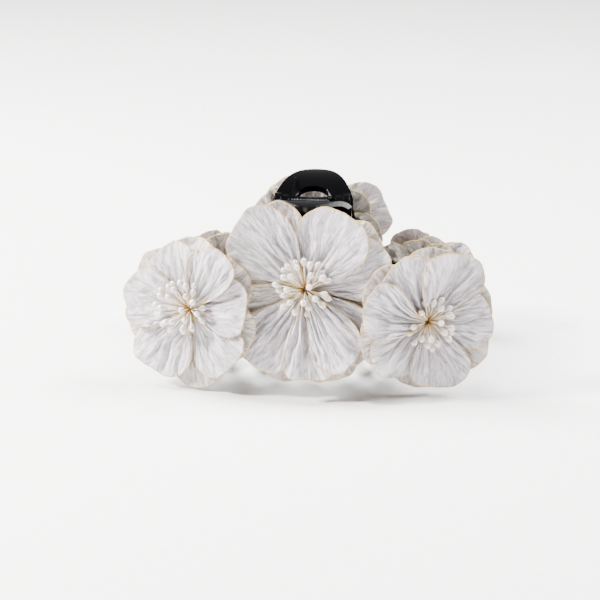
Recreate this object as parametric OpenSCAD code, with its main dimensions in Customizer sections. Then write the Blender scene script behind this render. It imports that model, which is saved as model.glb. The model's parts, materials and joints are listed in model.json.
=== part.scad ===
// Flower hair claw: two identical sprung jaws on one pin, with three layered fabric flowers on each jaw.
// Millimetres. X runs along the hinge, the front jaw is on the -Y side, Z is up from the surface it stands on.

/* [Claw] */
// Height of the hinge axis above the surface the claw stands on
hinge_h = 58; // [57:0.5:59]
// Length of each jaw along the hinge
jaw_len = 100; // [100:1:104]
// Outer radius of the jaws over their straight middle
jaw_r = 29; // [28.9:0.05:29.1]
// Thickness of the jaw wall
jaw_t = 2.2; // [1.8:0.1:2.6]
// Distance between the teeth of one jaw
tooth_pitch = 12.2; // [11.8:0.1:12.2]
// Width of a tooth where it leaves the jaw
tooth_w = 4.6; // [4:0.1:5]

/* [Thumb grips] */
// Width of a thumb grip at its foot
grip_w = 29.2; // [28.6:0.2:30]
// Radius of the outward flare of a grip
grip_flare_r = 28.6; // [28:0.2:29]
// Lean of a grip from upright where it leaves the hinge, in degrees
grip_lean = 52.5; // [51:0.5:54]
// Lean of a grip at its rim, in degrees
grip_rim_lean = 98; // [94:1:99]
// Thickness of a grip
grip_t = 1.9; // [1.6:0.1:2.2]
// Radius of the opening in a grip
grip_hole_r = 6.8; // [6:0.1:7.2]

/* [Hinge] */
// Radius of the hinge pin
pin_r = 1; // [0.9:0.05:1.1]
// Radial clearance between pin and lugs
pin_clearance = 0.05; // [0.03:0.01:0.08]
// Radius of the spring wire
wire_r = 0.5; // [0.45:0.05:0.5]
// Number of turns in the spring
spring_turns = 15; // [12:1:15]

/* [Flowers] */
// Thickness of the petal fabric
petal_t = 0.5; // [0.4:0.05:0.6]
// Radius of the free ring at the flower's middle, where the stamens rise
petal_root = 2.6; // [2.5:0.1:3]
// Step between one layer of petals and the next
layer_step = 0.85; // [0.75:0.05:1]
// Number of stamens in a flower
stamens = 26; // [20:1:28]
// Largest radius of a pearl tip
pearl_r = 1; // [0.8:0.05:1.05]

/* [Hidden] */
$fn = 64;

// Jaws
jaw_axis_h = jaw_r - 0.2;          // the jaw axis sits low enough for the middle teeth to get flat feet
jaw_straight = 12;                 // half length of the straight middle of a jaw
jaw_taper_r = 115;                 // radius with which the jaw narrows towards its ends
jaw_top_angle = 79;                // where the wall ends under the hinge
gum_z = 20;                        // height at which the teeth leave the wall
knee_angle = -60;                  // where the teeth turn under
tip_angle = -97;
bar_top_r = 180;                   // radius of the arched top edge of the bar that carries the teeth
bar_top_z = 31;
plate_r = 27;                      // round plate between the bar and the grip
plate_z = 25;
tooth_knee_w = 3.9;
tooth_tip_w = 3;
teeth = [-4:3];

// Hinge
shoulder_y = 4.8;                  // inner face of the shoulder that carries grip and lugs
shoulder_d = 4;
outer_lug = [11.2, 13.6];
inner_lug = [8.4, 10.8];
outer_lug_r = 4.3;
inner_lug_r = 3.7;
pin_len = 28;
coil_pitch = 1.02;
coil_overlap = 0.02;               // the closed turns are one solid here
coil_mean_r = 2.6;
leg_reach = 14;                    // how far out on a grip a spring leg bears
leg_gap = 0.12;

// Thumb grips: the arc of the inner face, in Y and height above the hinge
flare_y = shoulder_y + grip_flare_r * cos(grip_lean);
flare_z = 1 - grip_flare_r * sin(grip_lean);
grip_reach = flare_y - grip_flare_r * cos(grip_rim_lean);

// Stamen bundle
core_r = 2.1;                      // radius of the bound stems that run through the middle of the petals
core_top = 4.6;                    // height at which the stems spread
stem_step = 0.4;
thread_r = 0.26;
pearl_len = 3.6;

// Flowers: [name, foot of the flower, yaw, tilt up, layers of petals from the back].
// A petal is [direction round the flower, length, width]; the petals of one layer don't meet.
FLOWERS = [
    ["front_left", [-39.7, -30.1, 28], -20, 13, [
        [[43, 24, 19], [145, 26, 21], [282, 28, 21]],
        [[95, 25.5, 21], [196, 26, 20], [345, 23.5, 17]],
        [[118, 24, 20], [315, 26, 22]],
        [[240, 27, 23], [13, 22, 20]],
        [[64, 25, 18], [173, 25, 21]]]],
    ["front_centre", [0.3, -31.8, 36.8], -3, 15, [
        [[0, 22, 18], [85, 25, 20], [172, 23.5, 18], [250, 33, 23]],
        [[38, 30, 22], [118, 31.5, 22], [208, 26, 19], [290, 33, 22]],
        [[26, 27, 19], [235, 31, 20], [316, 29, 18]],
        [[66, 30, 25], [278, 32, 20]],
        [[132, 32, 25], [303, 29, 17]]]],
    ["front_right", [42.6, -30, 25.8], 6, 13, [
        [[20, 23, 21], [135, 26, 21], [255, 24.5, 22]],
        [[88, 25, 21], [195, 23, 19], [318, 24, 21]],
        [[0, 22.5, 20], [222, 22, 19]],
        [[110, 25.5, 20], [285, 24.5, 22]],
        [[62, 27, 22], [158, 22.5, 20]]]],
    ["rear_left", [-39, 30, 22], -20, 13, [
        [[43, 18, 16], [145, 19, 16], [285, 21, 18]],
        [[95, 16, 15], [200, 20, 17], [343, 21, 17]],
        [[118, 16, 15], [315, 21.5, 18]],
        [[240, 21.5, 19], [13, 20, 17]],
        [[64, 16, 15], [173, 20, 17]]]],
    ["rear_centre", [0.3, 31.8, 35.6], 3, 14, [
        [[0, 21, 17], [80, 24, 19], [172, 21, 17], [250, 33, 23]],
        [[38, 27, 20], [125, 25.5, 21], [208, 22, 17], [290, 32, 21]],
        [[26, 26, 19], [235, 30, 19], [316, 29, 19]],
        [[60, 26.5, 24], [278, 31, 20]],
        [[152, 29, 24], [303, 28, 17]]]],
    ["rear_right", [41, 30, 22], 20, 13, [
        [[20, 18.5, 16], [135, 17, 16], [255, 21.5, 19]],
        [[88, 16, 15], [195, 22, 17], [318, 21.5, 19]],
        [[0, 19, 16], [222, 21.5, 18]],
        [[110, 16, 15], [285, 21.5, 19]],
        [[62, 19, 16], [158, 20, 17]]]]];
lower_layers = [0, 1];
upper_layers = [2, 3, 4];

// ---- helpers ----

// Outer radius of a jaw at distance x from its middle.
function jaw_radius(x) =
    jaw_r - pow(max(0, abs(x) - jaw_straight), 2) / (2 * jaw_taper_r);

// Turns a shape revolved about Z so that its axis is the jaw's and angle 0 points out of the front jaw.
module on_jaw_axis() {
    translate([0, 0, jaw_axis_h]) rotate([90, 0, 0]) rotate([0, -90, 0]) children();
}

// Section of a jaw wall, from radius jaw_radius + grow inwards by depth.
module wall_section(depth, grow = 0) {
    stations = [for (x = [-jaw_len / 2, -42, -34, -26, -19, -jaw_straight]) x];
    both = concat(stations, [for (i = [5:-1:0]) -stations[i]]);
    polygon(concat(
        [for (x = both) [jaw_radius(x) + grow, x]],
        [for (i = [11:-1:0]) [max(0, jaw_radius(both[i]) + grow - depth), both[i]]]));
}

module wall_ring(from, to) {
    on_jaw_axis() rotate([0, 0, from]) rotate_extrude(angle = to - from, $fn = 96) wall_section(jaw_t);
}

// Centre of tooth i: the teeth of the two jaws pass between each other.
function tooth_x(i) = (i + 0.25) * tooth_pitch;

// ---- jaws ----

// Wall and upright part of the teeth, seen from the front: a round plate on an arched bar over a row of teeth.
module front_view() {
    knee_z = jaw_axis_h + jaw_r * sin(knee_angle) - 3;
    intersection() {
        union() {
            translate([0, bar_top_z - bar_top_r]) circle(bar_top_r, $fn = 360);
            translate([0, plate_z]) circle(plate_r, $fn = 144);
        }
        translate([-jaw_len, gum_z]) square([2 * jaw_len, 60]);
    }
    translate([-grip_w / 2, gum_z]) square([grip_w, 60]);
    for (i = teeth) translate([tooth_x(i), 0])
        polygon([[-tooth_knee_w / 2, knee_z], [tooth_knee_w / 2, knee_z], [tooth_knee_w / 2, knee_z + 8],
                 [tooth_w / 2, gum_z - 3], [tooth_w / 2 + 1.4, gum_z], [tooth_w / 2 + 1.4, gum_z + 1],
                 [-tooth_w / 2 - 1.4, gum_z + 1], [-tooth_w / 2 - 1.4, gum_z], [-tooth_w / 2, gum_z - 3],
                 [-tooth_knee_w / 2, knee_z + 8]]);
}

module wall_and_teeth() {
    intersection() {
        wall_ring(knee_angle, jaw_top_angle);
        translate([0, 1, 0]) rotate([90, 0, 0]) linear_extrude(60) front_view();
    }
}

module curled_teeth() {
    knee_y = -jaw_r * cos(knee_angle);
    tip_y = -jaw_r * cos(tip_angle) - 1;
    intersection() {
        wall_ring(tip_angle, knee_angle);
        linear_extrude(20) for (i = teeth) translate([tooth_x(i), 0]) {
            polygon([[-tooth_knee_w / 2, knee_y - 3], [tooth_knee_w / 2, knee_y - 3],
                     [tooth_knee_w / 2, knee_y + 5], [tooth_tip_w / 2, tip_y],
                     [-tooth_tip_w / 2, tip_y], [-tooth_knee_w / 2, knee_y + 5]]);
            translate([0, tip_y]) circle(tooth_tip_w / 2);
        }
    }
}

// Sheet of the grip: a flared arc along the hinge, trimmed to a rounded tongue seen from above.
module grip_sheet() {
    intersection() {
        translate([0, -flare_y, hinge_h + flare_z]) rotate([0, 90, 0])
            translate([0, 0, -grip_w / 2]) difference() {
                cylinder(r = grip_flare_r, h = grip_w, $fn = 128);
                translate([0, 0, -1]) cylinder(r = grip_flare_r - grip_t, h = grip_w + 2, $fn = 128);
            }
        translate([0, 0, hinge_h - 0.9]) linear_extrude(12) grip_outline();
    }
}

module grip_outline() {
    reach = grip_reach - shoulder_y;
    steps = 20;
    polygon(concat(
        [[-grip_w / 2, -shoulder_y + 0.01], [-grip_w / 2, -shoulder_y]],
        [for (i = [0:steps]) let (x = grip_w * (i / steps - 0.5))
            [x, -grip_reach + reach * pow(2 * x / grip_w, 2) - 0.001]],
        [[grip_w / 2, -shoulder_y + 0.01]]));
}

// Block that joins wall, grip and lugs, seen along the hinge.
module shoulder() {
    translate([-grip_w / 2, 0, hinge_h]) rotate([90, 0, 90]) linear_extrude(grip_w)
        polygon([[-shoulder_y, 1], [-shoulder_y, -3.4], [-shoulder_y - shoulder_d, -4.6],
                 [-shoulder_y - shoulder_d, -2.2], [-shoulder_y - 3, 0.2]]);
}

module lug(span, radius) {
    translate([span[0], 0, hinge_h]) rotate([0, 90, 0]) cylinder(r = radius, h = span[1] - span[0]);
    translate([span[0], -shoulder_y - 1, hinge_h - 3.3])
        cube([span[1] - span[0], shoulder_y + 1, 4.2]);
}

module jaw() {
    difference() {
        union() {
            wall_and_teeth();
            curled_teeth();
            grip_sheet();
            shoulder();
            lug([-outer_lug[1], -outer_lug[0]], outer_lug_r);
            lug(inner_lug, inner_lug_r);
        }
        translate([-30, 0, hinge_h]) rotate([0, 90, 0]) cylinder(r = pin_r + pin_clearance, h = 60);
        translate([0, -shoulder_y + 1.2, hinge_h + 1]) cylinder(r = grip_hole_r, h = 20);
        translate([-60, -60, -5]) cube([120, 120, 5]);
    }
}

module front_jaw() { color([0.03, 0.03, 0.035]) jaw(); }

module rear_jaw() { color([0.03, 0.03, 0.035]) rotate([0, 0, 180]) jaw(); }

// ---- hinge ----

module hinge_pin() {
    color([0.1, 0.1, 0.11]) translate([-pin_len / 2, 0, hinge_h]) rotate([0, 90, 0])
        cylinder(r = pin_r, h = pin_len);
}

// Leg from the top of the coil out to where it bears on a grip.
module spring_leg() {
    bear_angle = acos((flare_y - leg_reach) / grip_flare_r);
    bear = [leg_reach, flare_z + grip_flare_r * sin(bear_angle) + wire_r + leg_gap];
    rise = atan2(bear[1], bear[0]) - asin(coil_mean_r / norm(bear));
    start = coil_mean_r * [-sin(rise), cos(rise)];
    length = norm(bear - start);
    translate([(spring_turns / 2 - 0.5) * coil_pitch, -start[0], hinge_h + start[1]])
        rotate([90 - rise, 0, 0]) {
            cylinder(r = wire_r, h = length, $fn = 24);
            translate([0, 0, length]) sphere(wire_r, $fn = 24);
        }
}

module torsion_spring() {
    color([0.12, 0.12, 0.13]) union() {
        for (i = [0:spring_turns - 1])
            translate([(i - (spring_turns - 1) / 2) * coil_pitch, 0, hinge_h]) rotate([0, 90, 0])
                rotate_extrude() translate([coil_mean_r, 0]) circle(wire_r + coil_overlap, $fn = 24);
        spring_leg();
        rotate([0, 0, 180]) spring_leg();
    }
}

// ---- flowers ----

// Places a flower's own frame: Z out of its face, Y up.
module at_flower(flower) {
    rear = flower[1][1] > 0;
    translate(flower[1]) rotate([0, 0, (rear ? 180 - flower[2] : flower[2])]) rotate([90 - flower[3], 0, 0])
        children();
}

// Tongue shape of one petal lying along X: a round end that narrows to its root.
module petal_outline(length, width) {
    root_w = 1;
    r = min(width / 2, 0.46 * (length - petal_root + root_w));
    c = length - r;
    lean = asin((r - root_w) / (c - petal_root));
    steps = 18;
    polygon(concat(
        [[petal_root, root_w], [petal_root, -root_w]],
        [for (i = [0:steps]) let (turn = (90 + lean) * (2 * i / steps - 1)) [c + r * cos(turn), r * sin(turn)]]));
}

// Shallow dish of fabric, deeper for the layers nearer the front.
module dish(layer) {
    dish_r = 170 / (1 + 0.28 * layer);
    stations = [2, 12, 20, 28, 36];
    rotate_extrude() polygon(concat(
        [for (r = stations) [r, r * r / dish_r / 2]],
        [for (i = [4:-1:0]) let (r = stations[i]) [r, r * r / dish_r / 2 + petal_t]]));
}

module petal_layer(flower, layer) {
    for (p = flower[4][layer]) rotate(p[0]) intersection() {
        translate([0, 0, layer * layer_step]) rotate(180) dish(layer);
        linear_extrude(20) petal_outline(p[1], p[2]);
    }
}

module lower_petals(flower) {
    color([0.93, 0.91, 0.88]) at_flower(flower) for (layer = lower_layers) petal_layer(flower, layer);
}

module upper_petals(flower) {
    color([0.95, 0.93, 0.9]) at_flower(flower) for (layer = upper_layers) petal_layer(flower, layer);
}

// Hot-melt pad that fills the gap between the flat back of a flower and the round jaw.
module glue_pad(flower) {
    color([0.9, 0.88, 0.82]) difference() {
        at_flower(flower) translate([0, 0, -9.05]) cylinder(r = 7.5, h = 9);
        rotate([0, 0, flower[1][1] > 0 ? 180 : 0]) on_jaw_axis()
            rotate_extrude($fn = 96) wall_section(100, 0.05);
    }
}

// Bound stems of the stamens: a plug through the middle of the petals that is glued to the pad.
module stamen_bundle(flower) {
    color([0.85, 0.76, 0.55]) at_flower(flower) cylinder(r = core_r, h = core_top);
}

// Stamen i: [lean from the flower's axis, direction, length of the free thread].
function stamen(i) = [
    6 + 66 * sqrt(i / (stamens - 1)),
    i * 137.508,
    5.4 + 1.2 * sin(i * 97)];

module at_stamen(i) {
    s = stamen(i);
    rotate([0, 0, s[1]]) translate([stem_step * sqrt(i + 0.5), 0, core_top + thread_r * sin(s[0]) + 0.01])
        rotate([0, s[0], 0]) children();
}

module stamen_threads(flower) {
    color([0.9, 0.86, 0.78]) at_flower(flower) for (i = [0:stamens - 1])
        at_stamen(i) cylinder(r = thread_r, h = stamen(i)[2], $fn = 16);
}

// Drop shape of a pearl tip: a cone that runs into a ball.
module pearl_tips(flower) {
    ball_z = pearl_len - pearl_r;
    lean = asin((pearl_r - thread_r) / ball_z);
    color([0.95, 0.93, 0.9]) at_flower(flower) for (i = [0:stamens - 1])
        at_stamen(i) translate([0, 0, stamen(i)[2]]) union() {
            cylinder(r1 = thread_r, r2 = pearl_r * cos(lean), h = ball_z + pearl_r * sin(lean), $fn = 24);
            translate([0, 0, ball_z]) sphere(pearl_r, $fn = 24);
        }
}

// ---- nodes ----

front_jaw();
rear_jaw();
hinge_pin();
torsion_spring();
for (flower = FLOWERS) {
    glue_pad(flower);
    stamen_bundle(flower);
    lower_petals(flower);
    upper_petals(flower);
    stamen_threads(flower);
    pearl_tips(flower);
}
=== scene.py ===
"""Flower hair claw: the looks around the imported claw.

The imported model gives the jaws, the pin and the place of every flower. This script shapes the crepe petals,
the pearl-tipped stamens, the glue and the wound spring, dresses the plastic, and sets a plain studio
round them.
Lengths in the tables are millimetres; Blender's are metres.
"""

import json
import logging
import math
from dataclasses import dataclass, field
from enum import Enum

import bpy
import numpy as np
from mathutils import Matrix, Vector
from mathutils.bvhtree import BVHTree


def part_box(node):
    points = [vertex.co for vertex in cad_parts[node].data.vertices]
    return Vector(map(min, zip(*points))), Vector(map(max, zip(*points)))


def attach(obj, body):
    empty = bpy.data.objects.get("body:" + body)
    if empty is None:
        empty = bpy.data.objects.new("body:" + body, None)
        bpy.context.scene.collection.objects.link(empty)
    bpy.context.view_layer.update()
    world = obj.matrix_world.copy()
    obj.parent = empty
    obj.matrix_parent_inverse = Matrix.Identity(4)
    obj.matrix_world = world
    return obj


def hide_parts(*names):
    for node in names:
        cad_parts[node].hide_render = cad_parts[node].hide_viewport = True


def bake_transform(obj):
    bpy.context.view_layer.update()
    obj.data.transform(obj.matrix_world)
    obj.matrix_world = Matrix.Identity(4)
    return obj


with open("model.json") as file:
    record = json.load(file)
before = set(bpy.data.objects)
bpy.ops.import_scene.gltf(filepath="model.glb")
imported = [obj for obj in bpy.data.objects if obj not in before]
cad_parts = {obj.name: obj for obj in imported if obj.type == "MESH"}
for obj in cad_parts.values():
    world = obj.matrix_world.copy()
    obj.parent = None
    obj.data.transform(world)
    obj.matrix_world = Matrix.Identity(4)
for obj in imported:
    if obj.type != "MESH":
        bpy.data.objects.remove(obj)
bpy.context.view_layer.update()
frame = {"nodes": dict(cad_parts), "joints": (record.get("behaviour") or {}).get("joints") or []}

LOG = logging.getLogger("flower_claw")
MM = 0.001
REAR_BODY = "rear_half"
FRONT_BODY = "front_half"
HINGE = np.array(frame["joints"][0]["pos_m"]) / MM


# ---------------------------------------------------------------- colours and shader nodes


def linear(hex_colour: str) -> tuple[float, float, float, float]:
    """Turns an sRGB hex colour into the linear values that a shader takes.

    Args:
        hex_colour: six hex digits, such as "F4F1EE".

    Returns:
        Linear red, green and blue, and an alpha of 1.
    """
    channels = [int(hex_colour[i : i + 2], 16) / 255 for i in (0, 2, 4)]
    red, green, blue = (c / 12.92 if c <= 0.04045 else ((c + 0.055) / 1.055) ** 2.4 for c in channels)
    return red, green, blue, 1.0


def add_node(
    tree: bpy.types.NodeTree,
    kind: str,
    settings: dict[str, object] | None = None,
    links: dict[str | int, bpy.types.NodeSocket] | None = None,
) -> bpy.types.Node:
    """Adds one shader node, sets it up and links its inputs.

    Args:
        tree: the material's or world's node tree.
        kind: Blender's name for the node, such as "ShaderNodeBump".
        settings: values by name; a name of an input sets that socket, and any other sets a property.
        links: the socket that feeds each input, by the input's name or number.

    Returns:
        The new node.
    """
    node = tree.nodes.new(kind)
    for name, value in (settings or {}).items():
        if name in node.inputs:
            node.inputs[name].default_value = value
        else:
            setattr(node, name, value)
    for name, source in (links or {}).items():
        tree.links.new(source, node.inputs[name])
    return node


def start_material(name: str) -> tuple[bpy.types.Material, bpy.types.NodeTree, bpy.types.Node]:
    """Makes an empty material with a Principled shader on its output.

    Args:
        name: the finish's name.

    Returns:
        The material, its node tree and the Principled node.
    """
    material = bpy.data.materials.new(name)
    material.use_nodes = True
    tree = material.node_tree
    tree.nodes.clear()
    shader = add_node(tree, "ShaderNodeBsdfPrincipled")
    add_node(tree, "ShaderNodeOutputMaterial", links={"Surface": shader.outputs["BSDF"]})
    return material, tree, shader


def ramp(
    tree: bpy.types.NodeTree, source: bpy.types.NodeSocket, stops: list[tuple[float, str]]
) -> bpy.types.Node:
    """Adds a colour ramp with the given stops.

    Args:
        tree: the material's node tree.
        source: the socket that drives the ramp.
        stops: positions from 0 to 1 with their hex colours.

    Returns:
        The ramp node.
    """
    node = add_node(tree, "ShaderNodeValToRGB", links={"Fac": source})
    elements = node.color_ramp.elements
    while len(elements) < len(stops):
        elements.new(0.5)
    for element, (position, colour) in zip(elements, stops):
        element.position = position
        element.color = linear(colour)
    return node


# ---------------------------------------------------------------- finishes


@dataclass(frozen=True)
class CrepePetal:
    """Cotton crepe, dyed, stiffened and pressed over a hot iron.

    It is matt and crinkled along the grain, and its raw edge is scorched.
    """

    name: str
    cloth: str
    # shade: the darker colour, painted into the hollows of the crinkle as shade and also laid in random
    # patches
    shade: str
    root_tone: str
    edge: str = "C4A24C"
    crinkle_mm: tuple[float, float] = (0.9, 4.8)  # across and along the grain
    grain_mm: float = 0.42  # the real weave is about 0.2 mm, drawn coarser so that it shows
    edge_mm: float = 0.34

    def build(self) -> bpy.types.Material:
        """Makes the material from the petal's own cloth coordinates."""
        material, tree, shader = start_material(self.name)
        cloth = add_node(tree, "ShaderNodeAttribute", {"attribute_name": "cloth_mm"}).outputs["Vector"]
        rim = add_node(tree, "ShaderNodeAttribute", {"attribute_name": "rim_mm"}).outputs["Fac"]
        root = add_node(tree, "ShaderNodeAttribute", {"attribute_name": "root_share"}).outputs["Fac"]
        across, along = self.crinkle_mm
        stretched = add_node(
            tree, "ShaderNodeVectorMath", {"operation": "MULTIPLY"}, {0: cloth}
        )
        stretched.inputs[1].default_value = (1 / across, 1 / along, 1.0)
        crinkle = add_node(
            tree, "ShaderNodeTexNoise", {"Scale": 1.0, "Detail": 4.0, "Roughness": 0.6, "Distortion": 0.9},
            {"Vector": stretched.outputs["Vector"]},
        )
        grain = add_node(
            tree, "ShaderNodeTexNoise", {"Scale": 1 / self.grain_mm, "Detail": 2.0, "Roughness": 0.6},
            {"Vector": cloth},
        )
        patches = add_node(tree, "ShaderNodeTexNoise", {"Scale": 0.12, "Detail": 1.0}, {"Vector": cloth})
        # painted shade: the hollows of the crinkle are drawn darker, in the cloth's shade colour, where shade
        # falls in them
        painted_crinkle_shade = ramp(tree, crinkle.outputs["Fac"], [(0.36, self.shade), (0.56, self.cloth)])
        patchy = add_node(
            tree, "ShaderNodeMix", {"data_type": "RGBA"},
            {0: ramp(tree, patches.outputs["Fac"], [(0.35, "000000"), (0.8, "555555")]).outputs["Color"]},
        )
        tree.links.new(painted_crinkle_shade.outputs["Color"], patchy.inputs[6])
        patchy.inputs[7].default_value = linear(self.shade)
        # the cloth is drawn darker and warmer towards the stem
        stained = add_node(
            tree, "ShaderNodeMix", {"data_type": "RGBA"},
            {0: ramp(tree, root, [(0.0, "C8C8C8"), (0.3, "000000")]).outputs["Color"]},
        )
        tree.links.new(patchy.outputs[2], stained.inputs[6])
        stained.inputs[7].default_value = linear(self.root_tone)
        rim_scaled = add_node(tree, "ShaderNodeMath", {"operation": "DIVIDE"}, {0: rim})
        rim_scaled.inputs[1].default_value = self.edge_mm * 2
        edged = add_node(
            tree, "ShaderNodeMix", {"data_type": "RGBA"},
            {0: ramp(tree, rim_scaled.outputs[0], [(0.25, "E6E6E6"), (0.75, "000000")]).outputs["Color"]},
        )
        tree.links.new(stained.outputs[2], edged.inputs[6])
        edged.inputs[7].default_value = linear(self.edge)
        tree.links.new(edged.outputs[2], shader.inputs["Base Color"])
        coarse = add_node(
            tree, "ShaderNodeBump", {"Strength": 1.0, "Distance": 1.1 * MM},
            {"Height": crinkle.outputs["Fac"]}
        )
        fine = add_node(
            tree, "ShaderNodeBump", {"Strength": 0.8, "Distance": 0.18 * MM},
            {"Height": grain.outputs["Fac"], "Normal": coarse.outputs["Normal"]},
        )
        tree.links.new(fine.outputs["Normal"], shader.inputs["Normal"])
        shader.inputs["Roughness"].default_value = 0.82
        shader.inputs["Specular IOR Level"].default_value = 0.25
        shader.inputs["Sheen Weight"].default_value = 0.1
        shader.inputs["Sheen Roughness"].default_value = 0.5
        shader.inputs["Subsurface Weight"].default_value = 0.1
        shader.inputs["Subsurface Radius"].default_value = (1.0, 0.9, 0.8)
        shader.inputs["Subsurface Scale"].default_value = 0.4 * MM
        return material


@dataclass(frozen=True)
class MouldedStyrene:
    """Black polystyrene from a polished mould.

    It has a hard, even gloss with faint flow ripple and handling scuffs.
    """

    name: str = "polished_black_styrene"
    colour: str = "030304"
    scuff: str = "101013"
    ripple_mm: float = 14.0
    edge_mm: float = 0.3
    scuff_mm: float = 0.8

    def build(self) -> bpy.types.Material:
        """Makes the material in the part's own coordinates."""
        material, tree, shader = start_material(self.name)
        place = add_node(tree, "ShaderNodeTexCoord").outputs["Object"]
        ripple = add_node(
            tree, "ShaderNodeTexNoise", {"Scale": 1 / (self.ripple_mm * MM), "Detail": 1.0}, {"Vector": place}
        )
        scuff = add_node(
            tree, "ShaderNodeTexNoise", {"Scale": 1 / (self.scuff_mm * MM), "Detail": 4.0, "Roughness": 0.7},
            {"Vector": place},
        )
        colour = ramp(tree, scuff.outputs["Fac"], [(0.62, self.colour), (0.85, self.scuff)])
        tree.links.new(colour.outputs["Color"], shader.inputs["Base Color"])
        rough = ramp(tree, scuff.outputs["Fac"], [(0.45, "303030"), (0.8, "5A5A5A")])
        tree.links.new(rough.outputs["Color"], shader.inputs["Roughness"])
        edges = add_node(tree, "ShaderNodeBevel", {"Radius": self.edge_mm * MM, "samples": 4})
        bump = add_node(
            tree, "ShaderNodeBump", {"Strength": 0.2, "Distance": 0.05 * MM},
            {"Height": ripple.outputs["Fac"], "Normal": edges.outputs["Normal"]},
        )
        tree.links.new(bump.outputs["Normal"], shader.inputs["Normal"])
        shader.inputs["IOR"].default_value = 1.5
        shader.inputs["Specular IOR Level"].default_value = 0.15
        return material


@dataclass(frozen=True)
class DrawnWire:
    """Drawn steel under a thin black finish.

    It is satin, with fine lines along the wire and bare metal where it rubs.
    """

    name: str
    colour: str = "2B2C2F"
    bare: str = "8A8C90"
    line_mm: float = 0.12
    wear_mm: float = 1.6

    def build(self) -> bpy.types.Material:
        """Makes the material in the part's own coordinates."""
        material, tree, shader = start_material(self.name)
        place = add_node(tree, "ShaderNodeTexCoord").outputs["Object"]
        wear = add_node(
            tree, "ShaderNodeTexNoise", {"Scale": 1 / (self.wear_mm * MM), "Detail": 5.0, "Roughness": 0.65},
            {"Vector": place},
        )
        lines = add_node(
            tree, "ShaderNodeTexNoise", {"Scale": 1 / (self.line_mm * MM), "Detail": 2.0}, {"Vector": place}
        )
        colour = ramp(tree, wear.outputs["Fac"], [(0.55, self.colour), (0.72, self.bare)])
        tree.links.new(colour.outputs["Color"], shader.inputs["Base Color"])
        rough = ramp(tree, lines.outputs["Fac"], [(0.3, "484848"), (0.7, "707070")])
        tree.links.new(rough.outputs["Color"], shader.inputs["Roughness"])
        bump = add_node(
            tree, "ShaderNodeBump", {"Strength": 0.3, "Distance": 0.01 * MM}, {"Height": lines.outputs["Fac"]}
        )
        tree.links.new(bump.outputs["Normal"], shader.inputs["Normal"])
        shader.inputs["Metallic"].default_value = 1.0
        return material


@dataclass(frozen=True)
class PearlLacquer:
    """Paste drops dipped in pearl-essence lacquer.

    They are milky and wet-looking; the pink and green shift of their sheen and their warm shade are painted
    into the colour, in random patches.
    """

    name: str = "pearl_lacquer"
    body: str = "D6CDC7"
    warm_shade: str = "CDB6A6"
    cool_sheen: str = "C3C9C9"
    drift_mm: float = 1.3

    def build(self) -> bpy.types.Material:
        """Makes the material in the part's own coordinates."""
        material, tree, shader = start_material(self.name)
        place = add_node(tree, "ShaderNodeTexCoord").outputs["Object"]
        drift = add_node(
            tree, "ShaderNodeTexNoise", {"Scale": 1 / (self.drift_mm * MM), "Detail": 2.0, "Distortion": 1.2},
            {"Vector": place},
        )
        # painted shade and painted sheen: the warm tint stands for the drops' warm shade and the cool one for
        # the sheen's colour shift, laid in random patches over the body colour
        colour = ramp(tree, drift.outputs["Fac"], [(0.32, self.warm_shade), (0.5, self.body), (0.7, self.cool_sheen)])
        tree.links.new(colour.outputs["Color"], shader.inputs["Base Color"])
        rough = ramp(tree, drift.outputs["Fac"], [(0.3, "303030"), (0.7, "4A4A4A")])
        tree.links.new(rough.outputs["Color"], shader.inputs["Roughness"])
        shader.inputs["IOR"].default_value = 1.55
        shader.inputs["Coat Weight"].default_value = 0.9
        shader.inputs["Coat Roughness"].default_value = 0.07
        shader.inputs["Coat IOR"].default_value = 1.6
        return material


@dataclass(frozen=True)
class WaxedThread:
    """Cotton thread stiffened with wax and stained at the stem: ochre at the root, cream under the pearl."""

    name: str = "waxed_cotton_thread"
    root: str = "A87B33"
    tip: str = "E9DEC6"
    ply_mm: float = 0.35

    def build(self) -> bpy.types.Material:
        """Makes the material from the share of the thread's length and its place."""
        material, tree, shader = start_material(self.name)
        share = add_node(tree, "ShaderNodeAttribute", {"attribute_name": "root_share"}).outputs["Fac"]
        place = add_node(tree, "ShaderNodeTexCoord").outputs["Object"]
        ply = add_node(
            tree, "ShaderNodeTexNoise", {"Scale": 1 / (self.ply_mm * MM), "Detail": 3.0}, {"Vector": place}
        )
        stain = ramp(tree, share, [(0.0, self.root), (0.35, "CDB07A"), (0.75, self.tip)])
        fleck = add_node(tree, "ShaderNodeMix", {"data_type": "RGBA", "blend_type": "MULTIPLY"})
        fleck.inputs[0].default_value = 0.35
        tree.links.new(stain.outputs["Color"], fleck.inputs[6])
        tree.links.new(
            ramp(tree, ply.outputs["Fac"], [(0.35, "B8AA90"), (0.6, "FFFFFF")]).outputs["Color"],
            fleck.inputs[7]
        )
        tree.links.new(fleck.outputs[2], shader.inputs["Base Color"])
        bump = add_node(
            tree, "ShaderNodeBump", {"Strength": 0.6, "Distance": 0.05 * MM}, {"Height": ply.outputs["Fac"]}
        )
        tree.links.new(bump.outputs["Normal"], shader.inputs["Normal"])
        shader.inputs["Roughness"].default_value = 0.55
        shader.inputs["Sheen Weight"].default_value = 0.1
        return material


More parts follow.
